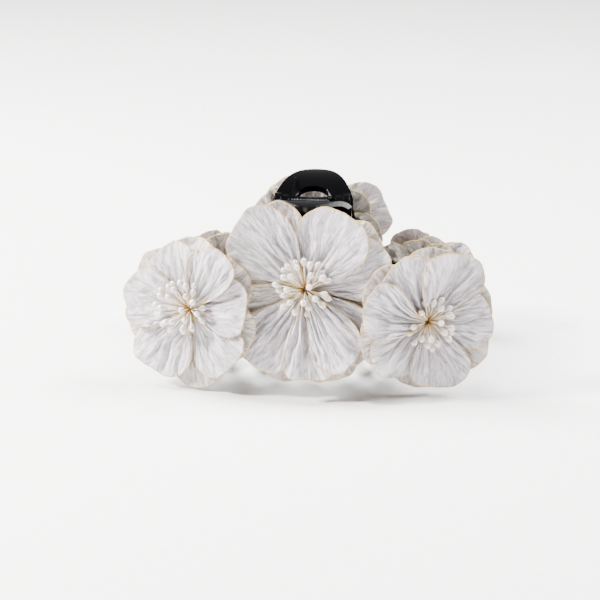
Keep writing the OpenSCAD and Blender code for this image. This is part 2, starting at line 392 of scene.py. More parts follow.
@dataclass(frozen=True)
class HotMelt:
    """Hot-melt adhesive, set: milky and half clear, with a soft skin and trapped haze."""

    name: str = "set_hot_melt"
    colour: str = "E3DCCB"
    haze: str = "CFC5AE"
    haze_mm: float = 2.5

    def build(self) -> bpy.types.Material:
        """Makes the material in the part's own coordinates."""
        material, tree, shader = start_material(self.name)
        place = add_node(tree, "ShaderNodeTexCoord").outputs["Object"]
        haze = add_node(
            tree, "ShaderNodeTexNoise", {"Scale": 1 / (self.haze_mm * MM), "Detail": 3.0}, {"Vector": place}
        )
        colour = ramp(tree, haze.outputs["Fac"], [(0.35, self.haze), (0.65, self.colour)])
        tree.links.new(colour.outputs["Color"], shader.inputs["Base Color"])
        bump = add_node(
            tree, "ShaderNodeBump", {"Strength": 0.5, "Distance": 0.25 * MM}, {"Height": haze.outputs["Fac"]}
        )
        tree.links.new(bump.outputs["Normal"], shader.inputs["Normal"])
        shader.inputs["Roughness"].default_value = 0.38
        shader.inputs["IOR"].default_value = 1.48
        shader.inputs["Subsurface Weight"].default_value = 0.4
        shader.inputs["Subsurface Radius"].default_value = (1.0, 0.85, 0.6)
        shader.inputs["Subsurface Scale"].default_value = 2.0 * MM
        return material


@dataclass(frozen=True)
class StudioPaper:
    """Matt white background paper, with the faint mottle of its pulp."""

    name: str = "white_background_paper"
    colour: str = "F4F3F2"
    mottle: str = "F0EFEE"

    def build(self) -> bpy.types.Material:
        """Makes the floor's material."""
        material, tree, shader = start_material(self.name)
        place = add_node(tree, "ShaderNodeTexCoord").outputs["Object"]
        pulp = add_node(tree, "ShaderNodeTexNoise", {"Scale": 300.0, "Detail": 3.0}, {"Vector": place})
        colour = ramp(tree, pulp.outputs["Fac"], [(0.4, self.mottle), (0.6, self.colour)])
        tree.links.new(colour.outputs["Color"], shader.inputs["Base Color"])
        shader.inputs["Roughness"].default_value = 0.95
        shader.inputs["Specular IOR Level"].default_value = 0.1
        return material


class Finishes:
    """Every finish on the clip, each made once."""

    def __init__(self) -> None:
        """Builds the materials."""
        self.upper = CrepePetal("white_crepe", cloth="D8D1D6", shade="ABA4A9", root_tone="C9B48C").build()
        # painted shade: the lower layers get a darker, creamier copy of the upper cloth, standing for the
        # shade that the layers above cast on them
        self.lower = CrepePetal("ivory_crepe", cloth="D0C9C6", shade="A59C96", root_tone="BFA982").build()
        self.plastic = MouldedStyrene().build()
        self.pin = DrawnWire("blackened_pin_steel").build()
        self.spring = DrawnWire("black_spring_wire", colour="141517", bare="34363A").build()
        self.pearl = PearlLacquer().build()
        self.thread = WaxedThread().build()
        self.glue = HotMelt().build()


# ---------------------------------------------------------------- mesh helpers


def make_piece(
    name: str,
    points_mm: np.ndarray,
    faces: list[tuple[int, ...]] | np.ndarray,
    material: bpy.types.Material,
    values: dict[str, np.ndarray] | None = None,
) -> bpy.types.Object:
    """Makes a smooth-shaded mesh object.

    Args:
        name: the piece's name.
        points_mm: one row of x, y and z for each vertex.
        faces: vertex numbers of each face.
        material: its finish.
        values: extra values on the vertices, as a float or a vector each, by name.

    Returns:
        The new object, linked to the scene.
    """
    mesh = bpy.data.meshes.new(name)
    mesh.from_pydata((points_mm * MM).tolist(), [], [tuple(int(i) for i in f) for f in faces])
    for key, array in (values or {}).items():
        vector = array.ndim == 2
        layer = mesh.attributes.new(key, "FLOAT_VECTOR" if vector else "FLOAT", "POINT")
        numbers = np.ascontiguousarray(array, np.float32).ravel()
        layer.data.foreach_set("vector" if vector else "value", numbers)
    mesh.polygons.foreach_set("use_smooth", np.ones(len(mesh.polygons), bool))
    mesh.materials.append(material)
    mesh.update()
    piece = bpy.data.objects.new(name, mesh)
    bpy.context.collection.objects.link(piece)
    return piece


def grid_faces(rows: int, columns: int, closed: bool = False) -> np.ndarray:
    """Lists the quads of a grid of points stored row by row.

    Args:
        rows: number of rows.
        columns: points in a row.
        closed: whether each row joins its own end, as round a tube.

    Returns:
        One row of four vertex numbers for each quad.
    """
    i, j = np.meshgrid(np.arange(rows - 1), np.arange(columns if closed else columns - 1), indexing="ij")
    k = (j + 1) % columns
    corners = [i * columns + j, i * columns + k, (i + 1) * columns + k, (i + 1) * columns + j]
    return np.stack(corners, -1).reshape(-1, 4)


def smooth_noise(
    u: np.ndarray, v: np.ndarray, cells: tuple[int, int], rng: np.random.Generator
) -> np.ndarray:
    """Smooth random values from -1 to 1 over a unit square.

    Args:
        u: first coordinate of each point, from 0 to 1.
        v: second coordinate.
        cells: how many bumps fit along each side.
        rng: the seeded source of the random lattice.

    Returns:
        A value for each point.
    """
    lattice = rng.uniform(-1, 1, (cells[0] + 2, cells[1] + 2))
    x = np.clip(u, 0, 1) * cells[0]
    y = np.clip(v, 0, 1) * cells[1]
    i, j = x.astype(int), y.astype(int)
    fx, fy = x - i, y - j
    fx, fy = fx * fx * (3 - 2 * fx), fy * fy * (3 - 2 * fy)
    low = lattice[i, j] * (1 - fx) + lattice[i + 1, j] * fx
    high = lattice[i, j + 1] * (1 - fx) + lattice[i + 1, j + 1] * fx
    return low * (1 - fy) + high * fy


def rise(x: np.ndarray, low: float, high: float) -> np.ndarray:
    """Goes smoothly from 0 at low to 1 at high."""
    t = np.clip((x - low) / (high - low), 0, 1)
    return t * t * (3 - 2 * t)


def sweep(path: np.ndarray, radii: np.ndarray, sides: int) -> tuple[np.ndarray, np.ndarray]:
    """Sweeps a round section along a path, with both ends closed.

    Args:
        path: the centre line's points.
        radii: the section's radius at each point.
        sides: number of sides.

    Returns:
        The points and the quads; the last ring at each end is drawn in to a point.
    """
    tangents = np.gradient(path, axis=0)
    tangents /= np.linalg.norm(tangents, axis=1, keepdims=True)
    normal = np.cross(tangents[0], (0.31, 0.87, 0.38))
    frames = []
    for tangent in tangents:
        normal = normal - tangent * np.dot(normal, tangent)
        normal /= np.linalg.norm(normal)
        frames.append((normal, np.cross(tangent, normal)))
    path = np.vstack([path[:1], path, path[-1:]])
    radii = np.concatenate([[radii[0] * 0.02], radii, [radii[-1] * 0.02]])
    frames = [frames[0], *frames, frames[-1]]
    turn = np.arange(sides) * 2 * math.pi / sides
    rings = [
        p + r * (np.cos(turn)[:, None] * a + np.sin(turn)[:, None] * b)
        for p, r, (a, b) in zip(path, radii, frames)
    ]
    return np.vstack(rings), grid_faces(len(rings), sides, closed=True)


class Gathering:
    """Collects many small shapes into one mesh."""

    def __init__(self) -> None:
        """Starts empty."""
        self.points: list[np.ndarray] = []
        self.faces: list[np.ndarray] = []
        self.shares: list[np.ndarray] = []
        self.count = 0

    def add(self, points: np.ndarray, faces: np.ndarray, share: np.ndarray) -> None:
        """Adds one shape.

        Args:
            points: its vertices.
            faces: its quads.
            share: a value from 0 to 1 for each vertex, its share of the way from root to tip.
        """
        self.points.append(points)
        self.faces.append(faces + self.count)
        self.shares.append(share)
        self.count += len(points)

    def piece(self, name: str, material: bpy.types.Material) -> bpy.types.Object:
        """Makes the piece out of everything added."""
        values = {"root_share": np.concatenate(self.shares)}
        return make_piece(name, np.vstack(self.points), np.vstack(self.faces), material, values)


# ---------------------------------------------------------------- how cloth lies on what is behind it


class Side(Enum):
    """Which jaw a flower is glued to; the value is the sign of Y that points away from the jaw."""

    FRONT = -1
    REAR = 1

    @property
    def body(self) -> str:
        """The body that carries this side's flowers."""
        return FRONT_BODY if self is Side.FRONT else REAR_BODY

    @property
    def jaw(self) -> str:
        """The name of this side's jaw."""
        return "front_jaw" if self is Side.FRONT else "rear_jaw"


class Relief:
    """How far out from the hinge plane things reach, over a grid of X and Z: what the next petal lies on."""

    cell = 0.4
    low = np.array([-74.0, -4.0])
    shape = (370, 205)

    def __init__(self, side: Side) -> None:
        """Starts with the jaw and its grip.

        Args:
            side: the jaw whose flowers will be laid.
        """
        self.side = side
        self.reach = np.full(self.shape, -50.0)
        self.add(self.sampled(frame["nodes"][side.jaw]))

    @staticmethod
    def sampled(node: bpy.types.Object) -> np.ndarray:
        """Spreads points over a part's surface, in millimetres."""
        mesh = node.data
        mesh.calc_loop_triangles()
        points = np.zeros(len(mesh.vertices) * 3, np.float32)
        corners = np.zeros(len(mesh.loop_triangles) * 3, np.int32)
        mesh.vertices.foreach_get("co", points)
        mesh.loop_triangles.foreach_get("vertices", corners)
        a, b, c = (points.reshape(-1, 3)[corners.reshape(-1, 3)[:, i]].astype(float) / MM for i in range(3))
        size = np.linalg.norm(np.cross(b - a, c - a), axis=1)
        rng = np.random.default_rng(3)
        pick = rng.choice(len(size), 260000, p=size / size.sum())
        u, v = rng.random((2, len(pick), 1))
        u, v = np.where(u + v > 1, 1 - u, u), np.where(u + v > 1, 1 - v, v)
        return a[pick] + u * (b[pick] - a[pick]) + v * (c[pick] - a[pick])

    def places(self, points: np.ndarray) -> tuple[np.ndarray, np.ndarray]:
        """The grid cell of each point."""
        cells = ((points[..., [0, 2]] - self.low) / self.cell).astype(int)
        return (
            np.clip(cells[..., 0], 1, self.shape[0] - 2),
            np.clip(cells[..., 1], 1, self.shape[1] - 2),
        )

    def add(self, points: np.ndarray) -> None:
        """Counts these points as lying on the pile."""
        flat = points.reshape(-1, 3)
        np.maximum.at(self.reach, self.places(flat), flat[:, 1] * self.side.value)

    def under(self, points: np.ndarray) -> np.ndarray:
        """How far out the pile reaches within a cell of each point."""
        i, j = self.places(points)
        around = [self.reach[i + di, j + dj] for di in (-1, 0, 1) for dj in (-1, 0, 1)]
        return np.max(around, axis=0)


# ---------------------------------------------------------------- petals


@dataclass(frozen=True)
class Shaping:
    """How the iron left a petal, in millimetres.

    Attributes:
        pleat: height of the pleats near the root.
        cup: how far the long edges stand up, or hang down if negative.
        fold: depth of a fold down the middle.
        curl: how far the tip turns back.
        ruffle: height of the waves along the rim.
    """

    pleat: float
    cup: float
    fold: float
    curl: float
    ruffle: float


class Form(Enum):
    """The few ways that the petals are shaped."""

    SMOOTH = Shaping(pleat=1.35, cup=-1.0, fold=0.0, curl=1.4, ruffle=0.45)
    CUPPED = Shaping(pleat=1.3, cup=1.1, fold=0.4, curl=0.6, ruffle=0.5)
    FOLDED = Shaping(pleat=1.4, cup=-0.7, fold=1.9, curl=1.2, ruffle=0.5)
    PLEATED = Shaping(pleat=2.1, cup=-0.6, fold=0.6, curl=1.2, ruffle=0.75)
    ROLLED = Shaping(pleat=1.3, cup=-2.2, fold=0.0, curl=2.4, ruffle=0.4)


@dataclass(frozen=True)
class PetalPlan:
    """One petal: its direction round the flower in degrees, its reach and width, and how it is shaped."""

    direction: float
    length: float
    width: float
    form: Form = Form.SMOOTH


@dataclass
class Petal:
    """A crepe petal, cut as a fan that is gathered to a narrow root and pressed into shape."""

    name: str
    plan: PetalPlan
    layer: int
    seed: int
    root_radius: float = 1.7
    root_half: float = 1.6
    thickness: float = 0.26
    pleat_shares: tuple[float, ...] = (0.3, 0.45, 0.75, 0.9, 1.0)  # the lower layers are pressed flatter
    clearance: float = 0.02  # air between petals near the root
    stand_off: float = 0.4  # more air under the rim, where it lies over another petal
    climb: float = 9.0  # distance from the root over which the lift comes in
    take_up: float = 1.3  # a guess: how much wider the cut is than the crimped petal
    floor_gap: float = 0.45  # petals stay this far above the floor
    floor_ease: float = 1.5  # height over which they turn along it
    grain_shift: float = 7.3  # sets each petal's crinkle apart from the next one's
    rows: int = 42
    columns: int = 97
    layer_step: float = 0.85
    dish_radius: float = 170.0
    shoulder: float = 0.3  # length of the straight side edges, as a share of the petal
    cloth: np.ndarray = field(init=False)

    def outline(self, tau: np.ndarray) -> np.ndarray:
        """Length of the cloth from root to rim along the fan line tau, from -1 to 1."""
        own = self.plan.length - self.root_radius
        a, b, c = np.random.default_rng(self.seed + 900).uniform(0, 2 * math.pi, 3)
        waver = 1 + 0.028 * np.sin(3.5 * tau + a) + 0.014 * np.sin(8 * tau + b) + 0.004 * np.sin(19 * tau + c)
        return own * waver * (self.shoulder + (1 - self.shoulder) * np.sqrt(1 - np.abs(tau) ** 2.9))

    def spread(self) -> float:
        """Half angle of the fan that gives the petal its width, found by halving."""
        tau = np.linspace(0, 1, 200)
        low, high = 0.1, 1.45
        for _ in range(30):
            middle = (low + high) / 2
            half = np.max(self.outline(tau) * np.sin(tau * middle))
            low, high = (middle, high) if half < self.plan.width / 2 else (low, middle)
        return low

    def flat(self) -> tuple[np.ndarray, np.ndarray, np.ndarray, np.ndarray]:
        """Lays the cloth flat.

        Returns:
            The share of the way to the rim, the fan coordinate, and x and y of each grid point.
        """
        s, tau = np.meshgrid(np.linspace(0, 1, self.rows), np.linspace(-1, 1, self.columns), indexing="ij")
        # fan lines crowd a little towards the edges, where the outline turns
        tau = np.sin(tau * math.pi / 2 * 0.86) / math.sin(math.pi / 2 * 0.86)
        length, angle = self.outline(tau), tau * self.spread()
        x = self.root_radius + s * length * np.cos(angle)
        y = s * length * np.sin(angle) + tau * self.root_half * (1 - s) ** 2
        return s, tau, x, y

    def height(self, s: np.ndarray, tau: np.ndarray, x: np.ndarray, y: np.ndarray) -> np.ndarray:
        """Height of the pressed petal over the flower's back plane."""
        rng = np.random.default_rng(self.seed)
        form = self.plan.form.value
        radius = np.hypot(x, y)
        share = s * self.outline(tau) / (self.plan.length - self.root_radius)
        dish = self.dish_radius / (1 + 0.28 * self.layer)
        z = self.layer * self.layer_step + radius**2 / (2 * dish)
        z += form.cup * rng.uniform(0.7, 1.3) * np.abs(tau) ** 2.2 * rise(share, 0.1, 0.75)
        z -= form.curl * rng.uniform(0.6, 1.4) * rise(share, 0.55, 1.05) ** 1.5
        z += rng.uniform(-0.5, 0.5) * tau * rise(share, 0.1, 0.9)
        u, v = (tau + 1) / 2, s
        z += 0.55 * smooth_noise(u, v, (3, 2), rng) * rise(share, 0.15, 0.8)
        bend = 0.15 * smooth_noise(u, v, (3, 4), rng)
        # pleats gathered at the root: sharp valleys between round backs, fading towards the rim
        pleats = np.zeros_like(z)
        for count, weight in ((5.5, 0.55), (9.0, 0.3), (15.0, 0.15)):
            phase = count * (tau + bend) / 2 + rng.uniform(0, 1)
            pleats += weight * (np.abs(np.sin(math.pi * phase)) - 0.64)
        gather = rise(share, 0.0, 0.14) * (0.16 + 0.84 * (1 - rise(share, 0.3, 1.05)))
        pleat = form.pleat * self.pleat_shares[self.layer]
        z += pleat * gather * pleats
        for _ in range(4):
            line, width = rng.uniform(-0.8, 0.8), rng.uniform(0.05, 0.12)
            end, depth = rng.uniform(0.55, 1.0), rng.uniform(0.3, 0.6) * (0.4 + pleat)
            groove = np.exp(-(((tau + bend - line) / width) ** 2))
            z -= depth * groove * rise(share, 0.03, 0.2) * (1 - rise(share, end * 0.55, end))
        if form.fold:
            line = rng.uniform(-0.12, 0.12)
            groove = np.exp(-np.abs((tau + bend * 0.6 - line) / 0.13) ** 1.4)
            z -= form.fold * groove * rise(share, 0.04, 0.25) * (1 - 0.85 * rise(share, 0.35, 0.95))
        wave = np.sin(math.pi * (rng.uniform(2.2, 3.6) * tau + rng.uniform(0, 2)))
        z += form.ruffle * wave * rise(share, 0.55, 1.0) * (0.4 + 0.6 * np.abs(tau))
        drift = u + 0.05 * smooth_noise(u, v, (4, 5), rng)
        calm = rise(share, 0.05, 0.35) * (1 - 0.65 * rise(share, 0.85, 1.0))
        z += 0.6 * smooth_noise(drift, v, (13, 3), rng) * calm
        z += 0.75 * (np.abs(smooth_noise(drift, v, (27, 4), rng)) - 0.4) * calm
        return z

    @staticmethod
    def rim(x: np.ndarray, y: np.ndarray) -> np.ndarray:
        """Points in order round the cut edge of the flat cloth."""
        sides = ((x[-1], y[-1]), (x[::-1, -1], y[::-1, -1]), (x[:, 0], y[:, 0]))
        return np.concatenate([np.stack(side, -1) for side in sides])

    def rim_distance(self, x: np.ndarray, y: np.ndarray) -> np.ndarray:
        """Distance of each point from the raw edge, measured on the flat cloth."""
        points = np.stack([x.ravel(), y.ravel()], -1)
        nearest = [np.hypot(*(points - e).T) for e in self.rim(x, y)]
        return np.min(nearest, axis=0)

    def lay(self, flower: "Flower", relief: Relief) -> np.ndarray:
        """Puts the petal on its flower and lifts it clear of what lies behind it.

        Args:
            flower: the flower it belongs to.
            relief: what the petal lies on; the petal is added to it.

        Returns:
            The grid of points, in millimetres.
        """
        s, tau, x, y = self.flat()
        z = self.height(s, tau, x, y)
        turn = math.radians(self.plan.direction)
        local = np.stack(
            [x * math.cos(turn) - y * math.sin(turn), x * math.sin(turn) + y * math.cos(turn), z], -1
        )
        points = flower.place(local)
        sign = relief.side.value
        gap = self.thickness + self.clearance + self.stand_off * rise(s, 0.3, 1.0)
        free = rise(np.hypot(x, y), self.root_radius, self.root_radius + self.climb)
        need = np.maximum(relief.under(points) + gap - points[..., 1] * sign, 0) * free
        points[..., 1] += sign * self.bridged(need)
        floor, ease, up = self.floor_gap, self.floor_ease, points[..., 2]
        points[..., 2] = np.where(up < floor + ease, floor + ease * np.exp((up - floor - ease) / ease), up)
        across, shift = tau * self.plan.width / 2, np.full_like(s, self.seed * self.grain_shift)
        self.cloth = np.stack([across, s * self.outline(tau), shift], -1)
        relief.add(self.finer(points))
        return points

    @staticmethod
    def surface(points: np.ndarray) -> float:
        """Area of a grid of points, as its quads."""
        along, across = points[1:] - points[:-1], points[:, 1:] - points[:, :-1]
        return float(np.linalg.norm(np.cross(along[:, :-1], across[:-1]), axis=-1).sum())

    @staticmethod
    def bridged(need: np.ndarray, reach: tuple[int, int] = (6, 11), passes: int = 40) -> np.ndarray:
        """Turns the least lift at each point into one that stiff cloth would take.

        Args:
            need: the least lift, over the petal's grid.
            reach: how far the cloth bridges a hollow, in rows and columns.
            passes: how often the result is smoothed.

        Returns:
            A smooth lift, which smoothing may leave a little under what is needed.
        """
        lift = need
        for axis, steps in enumerate(reach):
            for _ in range(steps):
                edge = np.pad(lift, [(1, 1) if a == axis else (0, 0) for a in (0, 1)], mode="edge")
                size = lift.shape[axis]
                lift = np.maximum.reduce([np.take(edge, range(o, o + size), axis) for o in (0, 1, 2)])
        for _ in range(passes):
            edge = np.pad(lift, 1, mode="edge")
            rows = (edge[:-2] + 2 * edge[1:-1] + edge[2:]) / 4
            lift = (rows[:, :-2] + 2 * rows[:, 1:-1] + rows[:, 2:]) / 4
        return lift

    @staticmethod
    def finer(points: np.ndarray) -> np.ndarray:
        """Fills in points between those of a grid, so that no cell of the relief is missed."""
        for axis in (0, 1):
            count = points.shape[axis]
            a = np.take(points, range(count - 1), axis)
            b = np.take(points, range(1, count), axis)
            points = np.concatenate([points, a * 2 / 3 + b / 3, a / 3 + b * 2 / 3], axis)
        return points

    def build(self, flower: "Flower", relief: Relief, material: bpy.types.Material) -> bpy.types.Object:
        """Makes the petal, stores its cloth coordinates on it and rides it on its jaw.

        Args:
            flower: the flower it belongs to.
            relief: what it lies on.
            material: its finish.

        Returns:
            The petal.
        """
        s, tau, x, y = self.flat()
        points = self.lay(flower, relief)
        values = {
            "cloth_mm": self.cloth.reshape(-1, 3),
            "rim_mm": self.rim_distance(x, y),
            "root_share": s.ravel(),
        }
        faces = grid_faces(self.rows, self.columns)
        petal = make_piece(self.name, points.reshape(-1, 3), faces, material, values)
        skin = petal.modifiers.new("cloth_thickness", "SOLIDIFY")
        skin.thickness = self.thickness * MM
        skin.offset = 0.0
        rim = self.rim(x, y)
        twice = abs(np.sum(rim[:, 0] * np.roll(rim[:, 1], -1) - rim[:, 1] * np.roll(rim[:, 0], -1)))
        area = twice / 2 * self.take_up * MM**2
        share = self.surface(points) * MM**2 / area * self.take_up
        LOG.info("%s: surface %.2f of its outline", self.name, share)
        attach(petal, flower.plan.side.body)
        return petal


# ---------------------------------------------------------------- flowers


@dataclass(frozen=True)
class FlowerPlan:
    """One flower: where it faces, in degrees, and its layers of petals from the back."""

    name: str
    side: Side
    yaw: float
    tilt: float
    layers: tuple[tuple[PetalPlan, ...], ...]
    seed: int
    sway: tuple[float, float] = (0.0, 0.0)


@dataclass
class Stamens:
    """A bundle of pearl-tipped threads that fans out of the middle of a flower."""

    count: int = 28
    thread_radius: float = 0.22
    core_top: float = 4.6
    step: float = 0.36
    pearl_length: float = 3.8
    pearl_radius: float = 1.12

    def centre_line(self, i: int, sway: tuple[float, float], rng: np.random.Generator) -> np.ndarray:
        """Path of one stamen, from the bundle's top to the pearl's neck.

        Args:
            i: its number, from the middle of the bundle outwards.
            sway: which way the whole bundle leans, across and up the flower.
            rng: the seeded source of its small differences.

        Returns:
            The path's points in the flower's frame.
        """
        lean = math.radians(20 + 50 * math.sqrt(i / (self.count - 1)) + rng.uniform(-4, 4))
        turn = math.radians(i * 137.508 + rng.uniform(-7, 7))
        length = 5.5 + 0.9 * rng.uniform(-1, 1)
        root = self.step * math.sqrt(i + 0.5)
        t = np.linspace(0, 1, 9)[:, None]
        out, up = np.array([math.cos(turn), math.sin(turn), 0]), np.array([0, 0, 1.0])
        lead = np.array([*sway, 0.0]) * length
        start = out * root + up * (self.core_top - 0.1)
        knee = start + (out * math.sin(lean * 0.55) + up * math.cos(lean * 0.55)) * length * 0.5
        end = start + (out * math.sin(lean) + up * math.cos(lean)) * length + lead
        return start * (1 - t) ** 2 + knee * 2 * t * (1 - t) + end * t**2

    def pearl_profile(self, t: np.ndarray) -> np.ndarray:
        """Radius of the drop along its length, from its neck at 0 to its crown at 1."""
        drop = np.sin(math.pi * np.clip(t, 0, 1) ** 1.55) ** 0.72
        return self.thread_radius * 0.9 * (1 - t) + (self.pearl_radius - 0.1 * self.thread_radius) * drop

    def build(self, flower: "Flower", finishes: Finishes) -> list[bpy.types.Object]:
        """Makes the threads, the pearls and the bound stems.

        Args:
            flower: the flower they stand in.
            finishes: the materials.

        Returns:
            The three pieces.
        """
        rng = np.random.default_rng(flower.plan.seed * 101 + 5)
        threads, pearls, stems = Gathering(), Gathering(), Gathering()
        for i in range(self.count):
            line = self.centre_line(i, flower.plan.sway, rng)
            points, faces = sweep(line, np.full(len(line), self.thread_radius), 8)
            share = np.repeat(np.concatenate([[0], np.linspace(0, 1, len(line)), [1]]), 8)
            threads.add(flower.place(points), faces, share)
            heading = line[-1] - line[-2]
            heading /= np.linalg.norm(heading)
            size = rng.uniform(0.9, 1.06)
            t = (1 - np.cos(np.linspace(0, math.pi, 17))) / 2
            drop = line[-1] + np.outer(t * self.pearl_length * size, heading)
            points, faces = sweep(drop, np.maximum(self.pearl_profile(t) * size, 0.04), 18)
            pearls.add(flower.place(points), faces, np.repeat(np.concatenate([[0], t, [1]]), 18))
            foot = line[0] * (0.9, 0.9, 0)
            swirl = np.array([-line[0][1], line[0][0], 0]) * 0.25
            t = np.linspace(0, 1, 7)[:, None]
            stem = foot * (1 - t) + line[0] * t + swirl * np.sin(math.pi * t)
            points, faces = sweep(stem, np.full(7, self.thread_radius * 1.1), 8)
            stems.add(flower.place(points), faces, np.zeros(len(points)))
        name, pieces = flower.plan.name, []
        for kind, shapes, slot, material in (
            ("stamen_threads", threads, "stamen_stem", finishes.thread),
            ("pearl_tips", pearls, "pearl", finishes.pearl),
            ("stamen_bundle", stems, "stamen_stem", finishes.thread),
        ):
            piece = shapes.piece(f"{name}_{kind}_detail", material)
            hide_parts(f"{name}_{kind}")
            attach(piece, flower.plan.side.body)
            pieces.append(piece)
        return pieces


@dataclass
class GluePad:
    """The blob of hot-melt between a flower's back and the jaw: squeezed out at both ends."""

    radius: float = 7.2
    waist: float = 0.82
    deepest: float = 9.0
    skin: float = 1.6  # how thick the glue is where it runs past the jaw's edge
    rings: int = 14
    sides: int = 48

    def build(self, flower: "Flower", material: bpy.types.Material) -> bpy.types.Object:
        """Makes the pad from the flower's back to the jaw's skin.

        Args:
            flower: the flower that it holds.
            material: its finish.

        Returns:
            The pad.
        """
        jaw = frame["nodes"][flower.plan.side.jaw].data
        jaw.calc_loop_triangles()
        corners = [v.co / MM for v in jaw.vertices]
        tree = BVHTree.FromPolygons(corners, [t.vertices for t in jaw.loop_triangles])
        rng = np.random.default_rng(flower.plan.seed * 31 + 7)
        turn = np.arange(self.sides) * 2 * math.pi / self.sides
        lobes = 1 + 0.06 * np.sin(3 * turn + rng.uniform(0, 6)) + 0.04 * np.sin(5 * turn + rng.uniform(0, 6))
        inward = Vector(-flower.normal)
        rows = []
        for share in np.linspace(0, 1, self.rings):
            belly = 1 - (1 - self.waist) * math.sin(math.pi * share) ** 0.8
            rows.append(self.radius * belly * lobes)
        points = []
        for share, radii in zip(np.linspace(0, 1, self.rings), rows):
            flat = np.stack([radii * np.cos(turn), radii * np.sin(turn), np.full(self.sides, -0.3)], -1)
            tops = flower.place(flat)
            hits = [tree.ray_cast(Vector(top), inward, self.deepest)[3] for top in tops]
            depths = np.array([self.skin if hit is None else hit - 0.04 for hit in hits])
            for _ in range(3):
                depths = np.minimum(depths, (np.roll(depths, 1) + depths + np.roll(depths, -1)) / 3)
            points.append(tops - np.outer(depths * share, flower.normal))
        points = np.vstack(points)
        caps = [points[: self.sides].mean(axis=0), points[-self.sides :].mean(axis=0)]
        faces = [tuple(f) for f in grid_faces(self.rings, self.sides, closed=True)]
        last = len(points) - self.sides
        for i in range(self.sides):
            k = (i + 1) % self.sides
            faces += [(len(points), k, i), (len(points) + 1, last + i, last + k)]
        piece = make_piece(f"{flower.plan.name}_glue", np.vstack([points, caps]), faces, material)
        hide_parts(f"{flower.plan.name}_glue_pad")
        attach(piece, flower.plan.side.body)
        return piece


class Flower:
    """A layered fabric flower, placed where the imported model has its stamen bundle."""

    core_height = 4.6
    first_upper_layer = 2

    def __init__(self, plan: FlowerPlan) -> None:
        """Finds the flower's place.

        Args:
            plan: its petals and the way it faces.
        """
        self.plan = plan
        yaw = plan.yaw if plan.side is Side.FRONT else 180 - plan.yaw
        facing = Matrix.Rotation(math.radians(yaw), 3, "Z")
        turned = facing @ Matrix.Rotation(math.radians(90 - plan.tilt), 3, "X")
        self.axes = np.array(turned)
        self.normal = self.axes @ np.array([0, 0, 1.0])
        low, high = (np.array(corner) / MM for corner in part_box(f"{plan.name}_stamen_bundle"))
        self.root = (low + high) / 2 - self.normal * self.core_height / 2

    def place(self, local: np.ndarray) -> np.ndarray:
        """Moves points from the flower's own frame to the clip's, in millimetres."""
        return local @ self.axes.T + self.root

    def build(self, relief: Relief, finishes: Finishes) -> list[bpy.types.Object]:
        """Makes the petals from the back to the front, then the stamens and the glue.

        Args:
            relief: what the petals lie on, which they are added to.
            finishes: the materials.

        Returns:
            Every piece of the flower.
        """
        pieces, stacks = [], {"lower": [], "upper": []}
        number = 0
        for layer, petals in enumerate(self.plan.layers):
            stack = "lower" if layer < self.first_upper_layer else "upper"
            for plan in petals:
                number += 1
                name = f"{self.plan.name}_{stack}_petal_{number:02d}"
                petal = Petal(name, plan, layer, seed=self.plan.seed * 50 + number)
                stacks[stack].append(petal.build(self, relief, getattr(finishes, stack)))
        for stack, built in stacks.items():
            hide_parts(f"{self.plan.name}_{stack}_petals")
            pieces += built
        pieces += Stamens().build(self, finishes)
        pieces.append(GluePad().build(self, finishes.glue))
        LOG.info("%s: %d petals, %d pieces", self.plan.name, number, len(pieces))
        return pieces


def P(direction: float, length: float, width: float, form: Form = Form.SMOOTH) -> PetalPlan:
    """Short form for a petal in the tables below."""
    return PetalPlan(direction, length, width, form)


C, F, L, R = Form.CUPPED, Form.FOLDED, Form.PLEATED, Form.ROLLED

